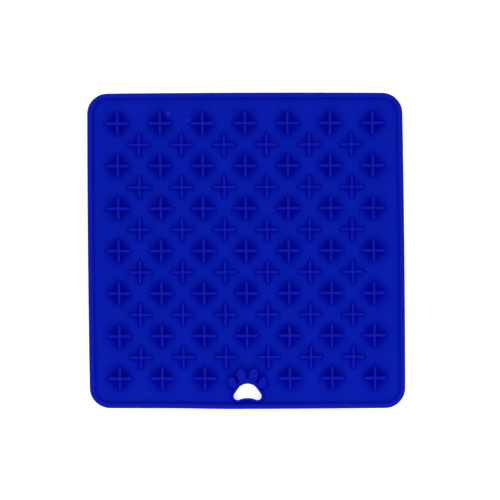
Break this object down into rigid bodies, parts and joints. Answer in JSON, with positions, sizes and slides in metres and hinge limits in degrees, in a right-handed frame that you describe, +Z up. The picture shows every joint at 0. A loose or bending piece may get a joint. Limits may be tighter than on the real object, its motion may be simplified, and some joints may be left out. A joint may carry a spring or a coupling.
{
  "type": "lick mat",
  "caption": "Square silicone lick mat: a flat tray with a low rim, tall and low cross-shaped nubs, and a paw by one edge whose main pad is a hang hole.",
  "frame": {"origin": "middle of the flat underside, on the surface that the mat lies on", "axes": "+Z up, out of the nubs' side; the paw and its hang hole are towards -Y; +X to the right with the paw at the front"},
  "size_m": [0.2006, 0.2006, 0.006],
  "materials": {
    "silicone": "matt moulded silicone rubber, royal blue"
  },
  "bodies": {
    "root": {"mat": "silicone"}
  },
  "joints": []
}
